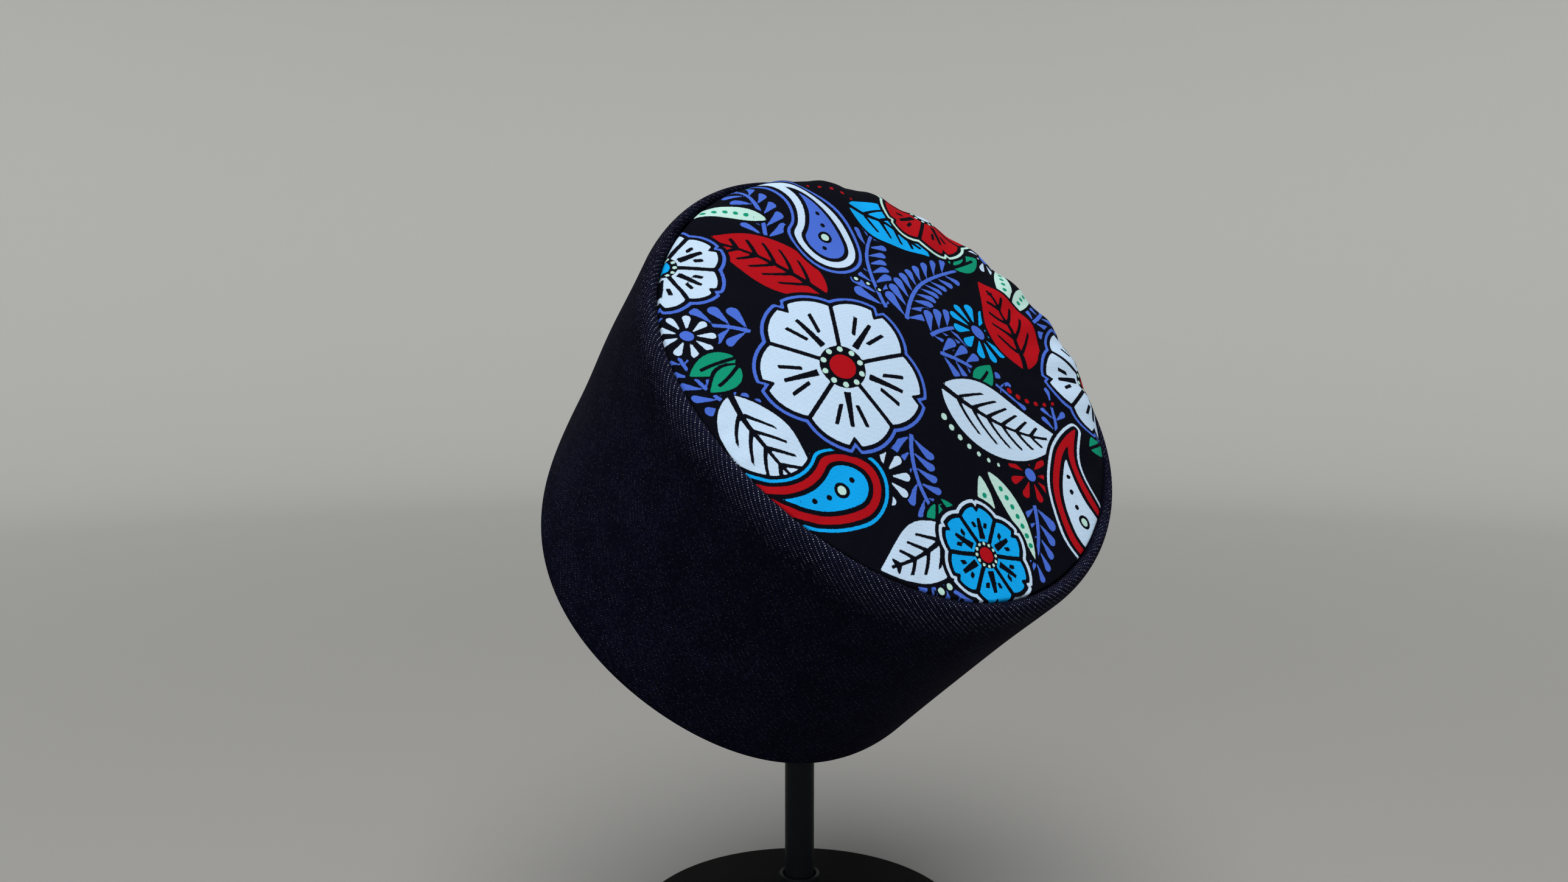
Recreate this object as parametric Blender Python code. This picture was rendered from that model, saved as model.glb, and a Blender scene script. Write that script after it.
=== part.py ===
"""Kufi cap leaning on a plain display stand.

The cap is two sewn pieces: a dark denim side band, which rolls over at its top edge down
to the crown seam and is turned in at its hem, and a printed cotton crown panel, slightly
domed, with soft puckers where it was eased into the seam. It hangs on the domed head of a
black stand: pole, collar and a thin round base.

Units are metres and +Z is up. The origin is the middle of the base's underside. The cap
is modelled in its own frame, with the crown seam in the XY plane, +Z out of the crown and
+Y towards the side that ends up highest. An empty tilts that frame about X, so the crown
faces -Y and up. Angles round the cap run from +X towards +Y.
"""
import math

import bmesh
import bpy
import numpy as np

# Clearance between pieces that touch
GAP = 0.0003

# Lean of the cap from upright
CAP_TILT = math.radians(52)

# Crown seam, and the denim roll that stands round it
SEAM_RADIUS = 0.0850
SEAM_SINK = 0.0010
SEAM_ALLOWANCE = 0.0045
ROLL_WIDTH = 0.0056
ROLL_DEPTH = 0.0080
ROLL_RISE = 0.0012
ROLL_CREST = 0.46

# Band from the roll down to the hem
BAND_DEPTH = 0.0797
HEM_RADIUS = 0.0938
FLARE_POWER = 1.42
WALL = 0.0022
HEM_WALL = 0.0030
HEM_TURN = 0.0120
HEM_ROUND = 0.0011

# Crown panel: a dome off its middle, and a fuller, puckered edge
CROWN_WALL = 0.0014
DOME_RISE = 0.0140
DOME_CENTRE_Y = 0.0200
DOME_SPREAD = 0.0450
DOME_EDGE_POWER = 6
EDGE_START = 0.45
EDGE_CREST = 0.90
PUCKER_COUNT = 25
PUCKER_SWAY = 0.9
PUCKER_BASE = 0.0002
PUCKER_SHARE = 0.055

# Slow waves round the cap, each row: times round, cosine part, sine part
SEAM_HEIGHT_WAVES = ((2, 0.0006, 0.0015), (3, 0.0002, -0.0009))
SEAM_RADIUS_WAVES = ((2, -0.0010, -0.0004),)
HEM_RADIUS_WAVES = ((2, -0.0013, 0.0084), (3, 0.0032, 0.0005))
HEM_DEPTH_WAVES = ((1, 0.0033, -0.0044), (3, 0.0006, 0.0008))

# Soft swellings, each row: angle round the cap and half width in degrees, height
SIDE_SWELLINGS = ((191, 22, 0.0144), (318, 20, 0.0040))
CROWN_EDGE_SWELLINGS = ((14, 30, 0.0095), (86, 30, 0.0094))
SEAM_DROPS = ((14, 30, 0.0030), (74, 26, 0.0030), (120, 20, -0.0015))
SEAM_SHIFTS = ((4, 28, 0.0032), (84, 30, 0.0020))

# Stand: a domed head that the cap sits on, its sphere centred on the pole's axis
HEAD_RADIUS = 0.0500
HEAD_HEIGHT = 0.2215
HEAD_SPAN = math.radians(62)
HEAD_EDGE = 0.0016
HEAD_CLEARANCE = 0.0002
POLE_RADIUS = 0.0056
COLLAR_RADIUS = 0.0077
COLLAR_HEIGHT = 0.0160
COLLAR_WALL = 0.0014
COLLAR_LIP = 0.0007
COLLAR_SEAT = 0.0080
BASE_RADIUS = 0.0630
BASE_THICKNESS = 0.0070
BASE_ROUND = 0.0016

# Steps of the meshes, and the rings of the crown as shares of the seam's radius
BAND_STEPS = 96
ROLL_STEPS = 4
WALL_STEPS = 6
HEM_STEPS = 3
CROWN_STEPS = 112
CROWN_SHARES = (0.20, 0.38, 0.52, 0.64, 0.76, 0.86, 0.93)
EDGE_SHARES = (0.97, 0.99)
HEAD_STEPS = 32
HEAD_RINGS = 8
POLE_STEPS = 24
BASE_STEPS = 56


def waves(angle, rows):
    """Sum of slow waves round the cap."""
    total = np.zeros_like(angle)
    for times, cosine, sine in rows:
        total += cosine * np.cos(times * angle) + sine * np.sin(times * angle)
    return total


def swellings(angle, rows):
    """Sum of bell-shaped swellings, each at its own angle round the cap."""
    total = np.zeros_like(angle)
    for centre, half_width, height in rows:
        turn = (angle - math.radians(centre) + math.pi) % (2 * math.pi) - math.pi
        total += height * np.exp(-0.5 * (turn / math.radians(half_width)) ** 2)
    return total


def roll_width(angle):
    """Width of the denim roll, narrower where the crown's cloth is drawn over the edge."""
    return ROLL_WIDTH - swellings(angle, SEAM_SHIFTS)


def seam_radius(angle):
    """Radius of the crown seam."""
    return SEAM_RADIUS + waves(angle, SEAM_RADIUS_WAVES) + swellings(angle, SEAM_SHIFTS)


def seam_height(angle):
    """Height of the crown seam above its mean plane."""
    return waves(angle, SEAM_HEIGHT_WAVES) - swellings(angle, SEAM_DROPS)


def wall_radius(angle, share):
    """Radius of the band's outer face: share runs from 0 under the roll to 1 at the hem."""
    top = seam_radius(angle) + roll_width(angle)
    hem = HEM_RADIUS + waves(angle, HEM_RADIUS_WAVES)
    return top + (hem - top + swellings(angle, SIDE_SWELLINGS)) * share ** FLARE_POWER


def wall_height(angle, share):
    """Height of the band's outer face at the same share."""
    top = seam_height(angle) + ROLL_RISE - ROLL_DEPTH
    depth = BAND_DEPTH + waves(angle, HEM_DEPTH_WAVES)
    return top - (depth + top) * share


def band_section(angle):
    """Radius and height of the band's closed section at each angle, station by station.

    It starts in the seam, climbs over the roll, runs down the outer face, rounds the hem
    and comes back up the inner face, which steps in where the hem is turned.
    """
    seam = seam_radius(angle)
    level = seam_height(angle)
    width = roll_width(angle)
    crest = ROLL_CREST * width
    stations = [
        (seam + GAP, level - SEAM_ALLOWANCE),
        (seam, level - 2 * SEAM_SINK),
        (seam + crest / 3, level),
    ]
    for turn in np.linspace(math.pi / 2, 0, ROLL_STEPS + 1):
        out = crest + (width - crest) * math.cos(turn)
        drop = ROLL_DEPTH * (1 - math.sin(turn))
        stations.append((seam + out, level + ROLL_RISE - drop))
    shares = np.linspace(0, 1, WALL_STEPS + 1)
    for share in shares[1:-1]:
        stations.append((wall_radius(angle, share), wall_height(angle, share)))
    for turn in np.linspace(0, math.pi, HEM_STEPS + 1):
        radius = wall_radius(angle, 1) - HEM_WALL / 2 * (1 - math.cos(turn))
        stations.append((radius, wall_height(angle, 1) - HEM_ROUND * math.sin(turn)))
    turned = 1 - HEM_TURN / BAND_DEPTH
    stations.append((wall_radius(angle, turned) - HEM_WALL, wall_height(angle, turned)))
    for share in shares[-2:0:-1]:
        if share < turned:
            stations.append((wall_radius(angle, share) - WALL, wall_height(angle, share)))
    stations.append((wall_radius(angle, 0) - WALL, level - SEAM_ALLOWANCE))
    return stations


def crown_height(angle, share):
    """Height of the crown's upper face, at a share of the seam's radius from its middle.

    A broad dome off the middle, that dies out at the seam, on a surface that follows the
    seam, with a fuller edge and puckers where the panel was eased in.
    """
    radius = seam_radius(angle) * share
    x = radius * np.cos(angle)
    y = radius * np.sin(angle) - DOME_CENTRE_Y
    dome = DOME_RISE * np.exp(-(x * x + y * y) / (2 * DOME_SPREAD ** 2))
    dome = dome * (1 - share ** DOME_EDGE_POWER)
    rise = np.clip((share - EDGE_START) / (EDGE_CREST - EDGE_START), 0, 1)
    fall = np.clip((share - EDGE_CREST) / (1 - EDGE_CREST), 0, 1)
    edge = rise * rise * (3 - 2 * rise) * np.sqrt(1 - fall * fall)
    swell = swellings(angle, CROWN_EDGE_SWELLINGS)
    strength = PUCKER_BASE + PUCKER_SHARE * swell
    puckers = strength * np.cos(PUCKER_COUNT * angle + PUCKER_SWAY * np.sin(3 * angle))
    return (seam_height(angle) - SEAM_SINK) * share ** 2 + dome + (swell + puckers) * edge


def crown_section(angle):
    """Radius and height of the crown panel at each angle, from its top to its underside.

    Both faces run from the middle to the seam, where the panel turns down beside the band.
    """
    seam = seam_radius(angle)
    level = seam_height(angle)
    stations = []
    for share in CROWN_SHARES + EDGE_SHARES:
        stations.append((seam * share, crown_height(angle, share)))
    stations.append((seam - 4 * GAP, level - 1.4 * SEAM_SINK))
    stations.append((seam - GAP, level - 2.4 * SEAM_SINK))
    stations.append((seam - GAP, level - SEAM_ALLOWANCE))
    stations.append((seam - GAP - CROWN_WALL, level - SEAM_ALLOWANCE))
    for share in CROWN_SHARES[::-1]:
        stations.append((seam * share, crown_height(angle, share) - CROWN_WALL))
    return stations


def seat_on_head():
    """Place of the head's sphere in the cap's frame, as its Y and Z there.

    The sphere is moved up and out by turns, until it is one clearance from the crown's
    underside and from the inner face of the band's high side.
    """
    reach = HEAD_RADIUS + HEAD_CLEARANCE
    angle, share = np.meshgrid(np.radians(np.arange(0, 180, 3)), np.linspace(0, 0.96, 33))
    crown_x = seam_radius(angle) * share * np.cos(angle)
    crown_y = seam_radius(angle) * share * np.sin(angle)
    crown_z = crown_height(angle, share) - CROWN_WALL
    wall = wall_radius(angle, share) - WALL
    wall_x = wall * np.cos(angle)
    wall_y = wall * np.sin(angle)
    wall_z = wall_height(angle, share)
    out = SEAM_RADIUS / 2
    up = -HEAD_RADIUS
    for _ in range(8):
        across = crown_x ** 2 + (crown_y - out) ** 2
        near = across < reach ** 2
        up = float(np.min(crown_z[near] - np.sqrt(reach ** 2 - across[near])))
        across = wall_x ** 2 + (wall_z - up) ** 2
        near = across < reach ** 2
        out = float(np.min(wall_y[near] - np.sqrt(reach ** 2 - across[near])))
    return out, up


def quarter_round(radius, height, size, top, steps=3):
    """Radius and height along a rounded outer edge, from top to bottom."""
    middle = height - size if top else height + size
    start = math.pi / 2 if top else 0.0
    turns = [start - math.pi / 2 * index / steps for index in range(steps + 1)]
    return [(radius - size + size * math.cos(t), middle + size * math.sin(t)) for t in turns]


def join_rings(mesh, first, second):
    """Quads between two rings of vertices, seen from outside with the first ring above."""
    for index in range(len(first)):
        after = (index + 1) % len(first)
        mesh.faces.new((first[index], second[index], second[after], first[after]))


def fill_ring(mesh, ring, height, facing_up):
    """Fan of triangles from a ring to a point on the axis."""
    centre = mesh.verts.new((0, 0, height))
    for index in range(len(ring)):
        corners = (ring[index], ring[(index + 1) % len(ring)], centre)
        mesh.faces.new(corners if facing_up else corners[::-1])


def carried_round(name, stations, steps, material, ends=None, frame=None):
    """A solid made by carrying a section of (radius, height) stations round the Z axis.

    The section closes on itself as a ring does, or runs from top to bottom between two
    heights on the axis, given as ends. A station may hold arrays, one value to each step.
    """
    angle = np.linspace(0, 2 * math.pi, steps, endpoint=False)
    mesh = bmesh.new()
    rings = []
    for radius, height in stations:
        points = np.stack(
            [radius * np.cos(angle), radius * np.sin(angle), height + 0 * angle], axis=1
        )
        rings.append([mesh.verts.new(point) for point in points])
    for first, second in zip(rings[:-1], rings[1:]):
        join_rings(mesh, first, second)
    if ends is None:
        join_rings(mesh, rings[-1], rings[0])
    else:
        fill_ring(mesh, rings[0], ends[0], facing_up=True)
        fill_ring(mesh, rings[-1], ends[1], facing_up=False)
    data = bpy.data.meshes.new(name)
    mesh.to_mesh(data)
    mesh.free()
    data.shade_smooth()
    data.set_sharp_from_angle(angle=math.radians(40))
    data.materials.append(material)
    piece = bpy.data.objects.new(name, data)
    piece.parent = frame
    bpy.context.scene.collection.objects.link(piece)
    return piece


def plain_material(name, colour, roughness):
    """A Principled BSDF with one colour."""
    material = bpy.data.materials.new(name)
    material.use_nodes = True
    shader = material.node_tree.nodes["Principled BSDF"]
    shader.inputs["Base Color"].default_value = (*colour, 1.0)
    shader.inputs["Roughness"].default_value = roughness
    shader.inputs["Metallic"].default_value = 0.0
    return material


def make_cap_frame():
    """Empty that carries the cap, placed so that the cap sits on the stand's head."""
    out, up = seat_on_head()
    frame = bpy.data.objects.new("cap_frame", None)
    frame.rotation_euler = (CAP_TILT, 0, 0)
    frame.location = (
        0,
        up * math.sin(CAP_TILT) - out * math.cos(CAP_TILT),
        HEAD_HEIGHT - out * math.sin(CAP_TILT) - up * math.cos(CAP_TILT),
    )
    bpy.context.scene.collection.objects.link(frame)
    return frame


def make_side_band(frame, material):
    """The denim wall, from the crown seam over the roll to the turned hem."""
    angle = np.linspace(0, 2 * math.pi, BAND_STEPS, endpoint=False)
    carried_round("side_band", band_section(angle), BAND_STEPS, material, frame=frame)


def make_crown_panel(frame, material):
    """The printed top."""
    angle = np.linspace(0, 2 * math.pi, CROWN_STEPS, endpoint=False)
    top = float(crown_height(np.zeros(1), 0.0)[0])
    ends = (top, top - CROWN_WALL)
    carried_round("crown_panel", crown_section(angle), CROWN_STEPS, material, ends, frame)


def make_base(material):
    """The thin round base, flat underneath."""
    stations = quarter_round(BASE_RADIUS, BASE_THICKNESS, BASE_ROUND, top=True)
    stations += quarter_round(BASE_RADIUS, 0, BASE_ROUND / 2, top=False, steps=2)
    carried_round("stand_base", stations, BASE_STEPS, material, (BASE_THICKNESS, 0))


def make_collar(material):
    """The socket on the base: it grips the pole's foot and stands free of it at its lip."""
    foot = BASE_THICKNESS + GAP
    rim = BASE_THICKNESS + COLLAR_HEIGHT
    bore = COLLAR_RADIUS - COLLAR_WALL
    seat = POLE_RADIUS + GAP
    stations = quarter_round(COLLAR_RADIUS, rim, COLLAR_LIP, top=True, steps=2)
    stations += [
        (COLLAR_RADIUS, foot),
        (seat, foot),
        (seat, foot + COLLAR_SEAT),
        (bore, foot + COLLAR_SEAT + COLLAR_WALL),
        (bore, rim - COLLAR_LIP),
        (bore + COLLAR_LIP / 3, rim - COLLAR_LIP / 3),
    ]
    carried_round("stand_collar", stations, POLE_STEPS, material)


def make_pole_and_head(metal, plastic):
    """The pole, and the hidden dome on top of it that holds the cap."""
    foot = BASE_THICKNESS + GAP
    underside = HEAD_HEIGHT + HEAD_RADIUS * math.cos(HEAD_SPAN) - HEAD_EDGE
    top = underside - GAP
    stations = [(POLE_RADIUS, top), (POLE_RADIUS, foot)]
    carried_round("stand_pole", stations, POLE_STEPS, metal, (top, foot))

    turns = np.linspace(0, HEAD_SPAN, HEAD_RINGS + 1)[1:]
    stations = [(HEAD_RADIUS * math.sin(t), HEAD_HEIGHT + HEAD_RADIUS * math.cos(t)) for t in turns]
    stations.append((HEAD_RADIUS * math.sin(HEAD_SPAN) - HEAD_EDGE, underside))
    ends = (HEAD_HEIGHT + HEAD_RADIUS, underside)
    carried_round("stand_head", stations, HEAD_STEPS, plastic, ends)


def main():
    """Clears the scene and makes every piece."""
    for old in list(bpy.data.objects):
        bpy.data.objects.remove(old)
    denim = plain_material("denim", (0.012, 0.014, 0.035), 0.85)
    printed_cotton = plain_material("printed_cotton", (0.10, 0.14, 0.22), 0.80)
    black_metal = plain_material("black_metal", (0.012, 0.012, 0.013), 0.45)
    black_plastic = plain_material("black_plastic", (0.012, 0.012, 0.013), 0.60)
    frame = make_cap_frame()
    make_side_band(frame, denim)
    make_crown_panel(frame, printed_cotton)
    make_base(black_metal)
    make_collar(black_metal)
    make_pole_and_head(black_metal, black_plastic)


main()
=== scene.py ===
"""Dresses the kufi cap and its display stand, around the packed model.

The cap's cloth is made as fine surfaces in the cap's own frame, whose XY plane holds the
crown seam and whose +Z points out of the crown. Angles round it run from +X towards +Y.
Lengths are in metres, and the print's tables are in millimetres of cloth.
"""
import functools
import math

import bpy
import numpy as np
from mathutils import Matrix, Vector


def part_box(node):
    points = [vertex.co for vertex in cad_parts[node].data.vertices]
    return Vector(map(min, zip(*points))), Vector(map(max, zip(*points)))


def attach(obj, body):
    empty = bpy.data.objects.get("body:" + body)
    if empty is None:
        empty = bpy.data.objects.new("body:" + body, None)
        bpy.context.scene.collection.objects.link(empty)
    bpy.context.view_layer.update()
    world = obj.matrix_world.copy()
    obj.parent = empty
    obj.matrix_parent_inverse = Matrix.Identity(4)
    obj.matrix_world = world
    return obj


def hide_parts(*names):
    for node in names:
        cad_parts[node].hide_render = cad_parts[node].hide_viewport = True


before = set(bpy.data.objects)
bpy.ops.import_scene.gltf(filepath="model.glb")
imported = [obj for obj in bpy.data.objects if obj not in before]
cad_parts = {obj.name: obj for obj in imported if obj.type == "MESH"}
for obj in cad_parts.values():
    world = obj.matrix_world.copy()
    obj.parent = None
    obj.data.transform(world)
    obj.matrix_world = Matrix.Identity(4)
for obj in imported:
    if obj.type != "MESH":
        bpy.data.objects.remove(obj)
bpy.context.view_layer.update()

bl_info = {
    "name": "Kufi Cap Dresser",
    "version": (1, 0, 0),
    "blender": (4, 5, 0),
    "location": "3D View > Sidebar > Kufi Cap",
    "description": "Makes the cloth, print and stand finishes of a kufi cap",
    "category": "Object",
}

# Place of the cap's own frame: its lean from upright, and the middle of the crown seam
CAP_TILT = math.radians(52)
CAP_SEAT = (0.0, -0.056133, 0.214354)

# Slow waves round the cap, each row: times round, cosine part, sine part
SEAM_HEIGHT_WAVES = ((2, 0.0006, 0.0015), (3, 0.0002, -0.0009))
SEAM_RADIUS_WAVES = ((2, -0.0010, -0.0004),)
HEM_RADIUS_WAVES = ((2, -0.0013, 0.0084), (3, 0.0032, 0.0005))
HEM_DEPTH_WAVES = ((1, 0.0033, -0.0044), (3, 0.0006, 0.0008))

# Soft swellings, each row: angle round the cap and half width in degrees, height
SIDE_SWELLINGS = ((191, 22, 0.0144), (318, 20, 0.0040))
CROWN_EDGE_SWELLINGS = ((14, 30, 0.0095), (86, 30, 0.0094))
SEAM_DROPS = ((14, 30, 0.0030), (74, 26, 0.0030), (120, 20, -0.0015))
SEAM_SHIFTS = ((4, 28, 0.0032), (84, 30, 0.0020))

# Fine ripples, each: times round the cap, how far they wander, and how often
CROWN_RIPPLES = (71, 2.0, 5)
BAND_RIPPLES = (83, 1.5, 4)

# The puckers wander too, and their number is a setting
PUCKER_WANDER = (0.9, 3)

# Where the stretched roll shows its pale weft further down, and where it shows more of it: both lie
# on the lit side of the roll, so they add painted highlight as well as weft, and the least is what
# shows on the shaded side
LATE_WEFT = ((240, 30, 1.0),)
LIT_SIDE_WEFT = ((222, 42, 0.64),)
LEAST_WEFT = 0.34

# Distances down from the seam over which the weft comes out and goes in again, each a start
# and an end, and how much further down they are where it is late
WEFT_OUT, LATE_OUT = (0.0002, 0.0014), (0.0016, 0.0026)
WEFT_IN, LATE_IN = (0.0026, 0.0130), (0.0034, 0.0075)

# Angle round the cap of the band's join, at the side away from the camera
JOIN_ANGLE = math.radians(41)

# Steps of the meshes
BAND_STEPS = 768
JOIN_STEPS = 10
ROLL_STEPS = 14
WALL_STEPS = 44
HEM_STEPS = 8
INNER_STEPS = 20
CROWN_CELLS = 284
UNDERSIDE_CELLS = CROWN_CELLS // 4
TURNED_STEPS = 160
EDGE_STEPS = 6
POLE_RINGS = 12
HEAD_RINGS = 40
FLOOR_STEPS = 96
FLOOR_RINGS = 24

# The floor: distances at which it starts to rise and ends, steepness, reach of its tone
FLOOR_FLAT = 1.6
FLOOR_END = 3.2
FLOOR_RISE = 1.3
FLOOR_TONE = (0.3, 2.6)

# Lights, each: side, place, tint, and the place that they are turned to
KEY_LIGHT = (2.0, (-0.5, -0.7, 2.3), (1.0, 0.985, 0.96))
FILL_LIGHT = (0.8, (-1.1, -0.7, 0.7), (0.93, 0.97, 1.0))
LIT_PLACE = (0, 0, 0.2)

# Coatings of the stand, each: height of the relief, specular level
PAINT_FINISH = (0.00001, 0.06)
BASE_FINISH = (0.00002, 0.005)
HEAD_FINISH = (0.00003, 0.03)


def number_prop(label, default, description, **kind):
    """A property that holds a number of some unit or subtype."""
    return bpy.props.FloatProperty(name=label, default=default, description=description, **kind)


def length_prop(label, default, description):
    """A property that holds a length."""
    return number_prop(label, default, description, unit="LENGTH", precision=5)


def share_prop(label, default, description):
    """A property that holds a share, between 0 and 1."""
    return number_prop(label, default, description, subtype="FACTOR")


def colour_prop(label, default, description):
    """A property that holds a colour."""
    return bpy.props.FloatVectorProperty(name=label, default=default, description=description,
                                         subtype="COLOR")


class KufiCapShape(bpy.types.PropertyGroup):
    """Sizes of the cap."""

    gap: length_prop("Gap", 0.0003, "Clearance where two pieces meet")
    seam_radius: length_prop("Seam radius", 0.0850, "Mean radius of the crown seam")
    seam_sink: length_prop("Seam sink", 0.0010, "How far the crown's edge is under the roll")
    seam_allowance: length_prop("Seam allowance", 0.0045, "Depth of the edges inside the seam")
    seam_lip: length_prop("Seam lip", 0.0012, "Reach of the denim under the crown's edge")
    least_edge: length_prop("Least edge", 0.0007, "Least thickness of the denim at the seam")
    roll_width: length_prop("Roll width", 0.0056, "Width of the denim that rolls over the seam")
    roll_depth: length_prop("Roll depth", 0.0080, "Height over which the roll turns down")
    roll_rise: length_prop("Roll rise", 0.0012, "How far the roll stands above the seam")
    roll_crest: share_prop("Roll crest", 0.46, "Share of its width where the roll is highest")
    band_depth: length_prop("Band depth", 0.0797, "Mean depth from the crown seam to the hem")
    hem_radius: length_prop("Hem radius", 0.0938, "Mean radius of the outer face at the hem")
    flare_power: number_prop("Flare power", 1.42, "How late the wall widens towards the hem")
    wall: length_prop("Wall", 0.0022, "Thickness of the folded denim wall")
    hem_wall: length_prop("Hem wall", 0.0030, "Thickness at the turned hem")
    hem_turn: length_prop("Hem turn", 0.0120, "Width of the denim turned in at the hem")
    hem_round: length_prop("Hem round", 0.0011, "How far the folded hem bulges downwards")
    join_edge: length_prop("Join edge", 0.0100, "Width of each edge pressed open at the join")
    join_rise: length_prop("Join rise", 0.00022, "How far those edges lift the cloth over them")
    join_furrow: length_prop("Join furrow", 0.0008, "Depth of the furrow where the ends meet")
    join_width: length_prop("Join width", 0.00045, "Half width of that furrow")
    crown_wall: length_prop("Crown wall", 0.0014, "Thickness of the crown and what backs it")
    dome_rise: length_prop("Dome rise", 0.0140, "Height of the crown's dome")
    dome_centre: length_prop("Dome centre", 0.0200, "Distance uphill from the crown's middle")
    dome_spread: length_prop("Dome spread", 0.0450, "Distance over which the dome dies away")
    edge_start: share_prop("Edge start", 0.45, "Share of the radius where the edge grows fuller")
    edge_crest: share_prop("Edge crest", 0.90, "Share of the radius where the edge is fullest")
    pucker_count: bpy.props.IntProperty(
        name="Puckers", description="Number of puckers round the crown", default=25)
    pucker_base: length_prop("Pucker base", 0.0002, "Height of the puckers on a flat edge")
    pucker_share: share_prop("Pucker share", 0.055, "Their height as a share of a fuller edge")
    ease: length_prop("Ease", 0.00012, "Height of the fine ripples where the stitches pull")


class KufiDenim(bpy.types.PropertyGroup):
    """Finish of the denim band."""

    warp: colour_prop("Warp", (0.0015, 0.0014, 0.0048), "The indigo warp threads")
    warp_light: colour_prop("Lighter warp", (0.0088, 0.0098, 0.0310), "The palest warp threads")
    weft: colour_prop("Weft", (0.54, 0.59, 0.70), "The undyed weft threads")
    back: colour_prop("Back", (0.115, 0.145, 0.230), "The weft on the cloth's reverse")
    warp_pitch: length_prop("Warp pitch", 0.00039, "Spacing of the threads that run round the cap")
    weft_pitch: length_prop("Weft pitch", 0.00059, "Spacing of the threads that run down the wall")


class KufiPrint(bpy.types.PropertyGroup):
    """Inks and weave of the printed cotton."""

    ground: colour_prop("Ground", (0.0018, 0.0022, 0.0060), "Black ground of the print")
    white: colour_prop("White", (0.55, 0.72, 0.92), "Bluish white ink")
    violet: colour_prop("Violet", (0.066, 0.153, 0.66), "Violet blue ink")
    red: colour_prop("Red", (0.42, 0.004, 0.0095), "Red ink")
    cyan: colour_prop("Cyan", (0.004, 0.385, 0.90), "Cyan ink")
    mint: colour_prop("Mint", (0.50, 0.76, 0.70), "Pale mint ink")
    green: colour_prop("Green", (0.004, 0.292, 0.17), "Green ink")
    thread: length_prop("Thread", 0.00042, "Spacing of the cotton threads")


class KufiStand(bpy.types.PropertyGroup):
    """Sizes and finish of the stand."""

    colour: colour_prop("Paint", (0.0062, 0.0074, 0.0090), "Satin paint of the pole and collar")
    roughness: share_prop("Roughness", 0.36, "Roughness of that paint")
    base_colour: colour_prop("Base paint", (0.0098, 0.0098, 0.0098), "Duller paint of the base")
    base_roughness: share_prop("Base roughness", 0.60, "Roughness of the base's paint")
    base_round: length_prop("Base edge", 0.0016, "Rounding of the upper edge of the base")
    collar_wall: length_prop("Collar wall", 0.0014, "Wall of the collar at its open lip")
    collar_lip: length_prop("Collar lip", 0.0005, "Rounding of the collar's lip")
    collar_seat: length_prop("Collar seat", 0.0080, "Height that grips the pole")
    pole_edge: length_prop("Pole edge", 0.0002, "Bevel of the pole's ends")
    seat_gap: length_prop("Seat gap", 0.0003, "Clearance between the pole and the collar")
    head_edge: length_prop("Head edge", 0.0016, "Rounding of the hidden head's lower edge")


class KufiStage(bpy.types.PropertyGroup):
    """Floor, lights and camera."""

    floor: colour_prop("Floor", (0.270, 0.266, 0.258), "The floor by the object")
    wall: colour_prop("Wall", (0.56, 0.56, 0.54), "The floor where it rises far away")
    key_power: number_prop("Key light", 62.0, "Power of the light overhead", unit="POWER")
    fill_power: number_prop("Fill light", 3.0, "Power of the light at the side", unit="POWER")
    sky: number_prop("Sky", 0.42, "Strength of the even light all round")
    lens: number_prop("Lens", 26.55, "Focal length", subtype="DISTANCE_CAMERA")
    camera_place: bpy.props.FloatVectorProperty(
        name="Camera place", description="Where the camera stands",
        default=(-0.2497, -0.3575, 0.2120), subtype="XYZ", unit="LENGTH")
    camera_turn: number_prop("Camera turn", math.radians(-34.15),
                             "Turn of the camera from looking along +Y", subtype="ANGLE")
    camera_dip: number_prop("Camera dip", math.radians(3.0),
                            "How far the camera looks down", subtype="ANGLE")


def waves(angle, rows):
    """Sum of slow waves round the cap."""
    total = np.zeros_like(angle)
    for times, cosine, sine in rows:
        total = total + cosine * np.cos(times * angle) + sine * np.sin(times * angle)
    return total


def swellings(angle, rows):
    """Sum of bell-shaped swellings, each at its own angle round the cap."""
    total = np.zeros_like(angle)
    for centre, half_width, height in rows:
        turn = (angle - math.radians(centre) + math.pi) % (2 * math.pi) - math.pi
        total = total + height * np.exp(-0.5 * (turn / math.radians(half_width)) ** 2)
    return total


def ripple(angle, times, wander, often):
    """Waves round the cap whose spacing wanders."""
    return np.cos(times * angle + wander * np.sin(often * angle))


def smooth(value, start, end):
    """Smooth step from 0 at start to 1 at end."""
    share = np.clip((value - start) / (end - start), 0, 1)
    return share * share * (3 - 2 * share)


def roll_width(cap, angle):
    """Width of the denim roll, less where the crown's cloth is drawn over the edge."""
    return cap.roll_width - swellings(angle, SEAM_SHIFTS)


def seam_radius(cap, angle):
    """Radius of the crown seam: its mean, slow waves and two shifts outwards."""
    return cap.seam_radius + waves(angle, SEAM_RADIUS_WAVES) + swellings(angle, SEAM_SHIFTS)


def seam_height(angle):
    """Height of the crown seam above its mean plane."""
    return waves(angle, SEAM_HEIGHT_WAVES) - swellings(angle, SEAM_DROPS)


def wall_radius(cap, angle, share):
    """Radius of the band's outer face: from under the roll, widening by a power to the hem."""
    top = seam_radius(cap, angle) + roll_width(cap, angle)
    hem = cap.hem_radius + waves(angle, HEM_RADIUS_WAVES)
    return top + (hem - top + swellings(angle, SIDE_SWELLINGS)) * share ** cap.flare_power


def wall_height(cap, angle, share):
    """Height of the band's outer face, straight from under the roll to the hem."""
    top = seam_height(angle) + cap.roll_rise - cap.roll_depth
    depth = cap.band_depth + waves(angle, HEM_DEPTH_WAVES)
    return top - (depth + top) * share


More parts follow.
